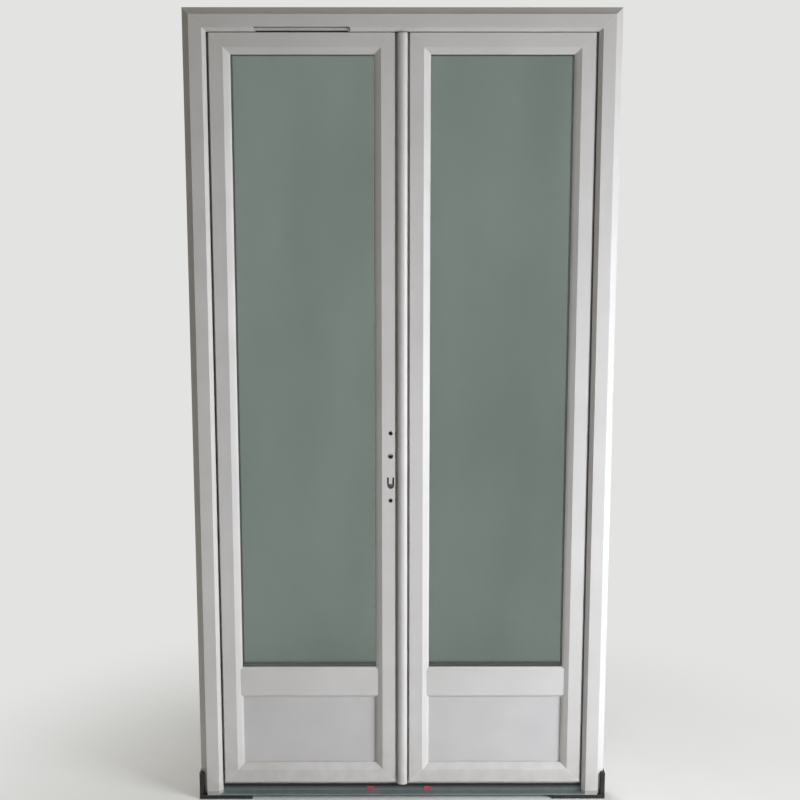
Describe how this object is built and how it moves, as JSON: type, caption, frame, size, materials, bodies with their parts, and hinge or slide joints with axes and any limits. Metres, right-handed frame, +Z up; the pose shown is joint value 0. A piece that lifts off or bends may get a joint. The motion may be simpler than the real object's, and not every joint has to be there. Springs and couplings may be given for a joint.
{
  "type": "french doors",
  "caption": "Inward opening French doors in a welded frame: glazed leaves with a flat lower panel, cover strip, low threshold, pin hinges and a rod lock.",
  "frame": {"origin": "middle of the doors' box, on the ground under the boots", "axes": "+X to the right seen from outside, +Y into the room, +Z up; the outside face looks along -Y"},
  "size_m": [1.196, 0.0995, 2.262],
  "materials": {
    "profile_white": "satin white moulded profile",
    "panel_white": "satin white sheet",
    "cap_plastic": "satin",
    "glass": "clear",
    "seal_rubber": "matte grey",
    "boot_rubber": "matte black",
    "threshold_aluminium": "mill finish, grey",
    "end_block_plastic": "matte grey",
    "packer_plastic": "matte pink",
    "zinc_steel": "zinc coated",
    "spacer_aluminium": "matt",
    "block_plastic": "matte blue",
    "hinge_white": "white powder coat",
    "lock_steel": "zinc plated"
  },
  "bodies": {
    "frame": {"frame_jamb_left": "profile_white", "frame_jamb_right": "profile_white", "frame_head": "profile_white", "frame_steel": "zinc_steel", "frame_seal": "seal_rubber", "threshold": "threshold_aluminium", "threshold_end_left": "end_block_plastic", "threshold_end_right": "end_block_plastic", "threshold_keep": "lock_steel", "head_keep": "lock_steel", "threshold_packers": "packer_plastic", "sill_boot_left": "boot_rubber", "sill_boot_right": "boot_rubber", "left_frame_hinges": "hinge_white", "right_frame_hinges": "hinge_white", "left_hinge_pins": "lock_steel", "right_hinge_pins": "lock_steel"},
    "left_leaf": {"left_hinge_stile": "profile_white", "left_meeting_stile": "profile_white", "left_top_rail": "profile_white", "left_bottom_rail": "profile_white", "left_mid_rail": "profile_white", "left_outer_pane": "glass", "left_inner_pane": "glass", "left_glass_spacer": "spacer_aluminium", "left_panel": "panel_white", "left_glazing_beads": "profile_white", "left_glazing_gaskets": "seal_rubber", "left_setting_blocks": "block_plastic", "left_overlap_seal": "seal_rubber", "left_steel": "zinc_steel", "left_leaf_hinges": "hinge_white", "lock_case": "lock_steel", "lock_faceplate": "lock_steel"},
    "right_leaf": {"right_hinge_stile": "profile_white", "right_meeting_stile": "profile_white", "right_top_rail": "profile_white", "right_bottom_rail": "profile_white", "right_mid_rail": "profile_white", "right_outer_pane": "glass", "right_inner_pane": "glass", "right_glass_spacer": "spacer_aluminium", "right_panel": "panel_white", "right_glazing_beads": "profile_white", "right_glazing_gaskets": "seal_rubber", "right_setting_blocks": "block_plastic", "right_overlap_seal": "seal_rubber", "right_steel": "zinc_steel", "right_leaf_hinges": "hinge_white", "astragal": "profile_white", "astragal_caps": "cap_plastic", "strike_plate": "lock_steel"},
    "lock_pinion": {"lock_pinion": "lock_steel"},
    "drive_rod_upper": {"drive_rod_upper": "lock_steel"},
    "drive_rod_lower": {"drive_rod_lower": "lock_steel"},
    "deadbolt": {"deadbolt": "lock_steel"},
    "shoot_bolt_upper": {"shoot_bolt_upper": "lock_steel"},
    "shoot_bolt_lower": {"shoot_bolt_lower": "lock_steel"}
  },
  "joints": [
    {"name": "left_leaf_hinge", "type": "hinge", "parent": "frame", "child": "left_leaf", "pos_m": [-0.565, 0.04225, 0], "axis": [0, 0, 1], "range_deg": [0, 170]},
    {"name": "right_leaf_hinge", "type": "hinge", "parent": "frame", "child": "right_leaf", "pos_m": [0.565, 0.04225, 0], "axis": [0, 0, -1], "range_deg": [0, 94]},
    {"name": "upper_rod_slide", "type": "slide", "parent": "left_leaf", "child": "drive_rod_upper", "axis": [0, 0, 1], "range_m": [0, 0.018]},
    {"name": "lower_rod_slide", "type": "slide", "parent": "left_leaf", "child": "drive_rod_lower", "axis": [0, 0, -1], "range_m": [0, 0.01801]},
    {"name": "spindle_turn", "type": "hinge", "parent": "left_leaf", "child": "lock_pinion", "pos_m": [-0.0336, 0.00025, 1.031], "axis": [0, -1, 0], "range_deg": [0, 90.1]},
    {"name": "deadbolt_slide", "type": "slide", "parent": "left_leaf", "child": "deadbolt", "axis": [1, 0, 0], "range_m": [0, 0.012]},
    {"name": "upper_bolt_slide", "type": "slide", "parent": "right_leaf", "child": "shoot_bolt_upper", "axis": [0, 0, 1], "range_m": [0, 0.018]},
    {"name": "lower_bolt_slide", "type": "slide", "parent": "right_leaf", "child": "shoot_bolt_lower", "axis": [0, 0, -1], "range_m": [0, 0.018]}
  ],
  "couplings": [
    {"joint": "right_leaf_hinge", "follows": "left_leaf_hinge", "ratio": 0.55},
    {"joint": "lower_rod_slide", "follows": "upper_rod_slide", "ratio": 1},
    {"joint": "spindle_turn", "follows": "upper_rod_slide", "rad_per_m": 87.266}
  ]
}
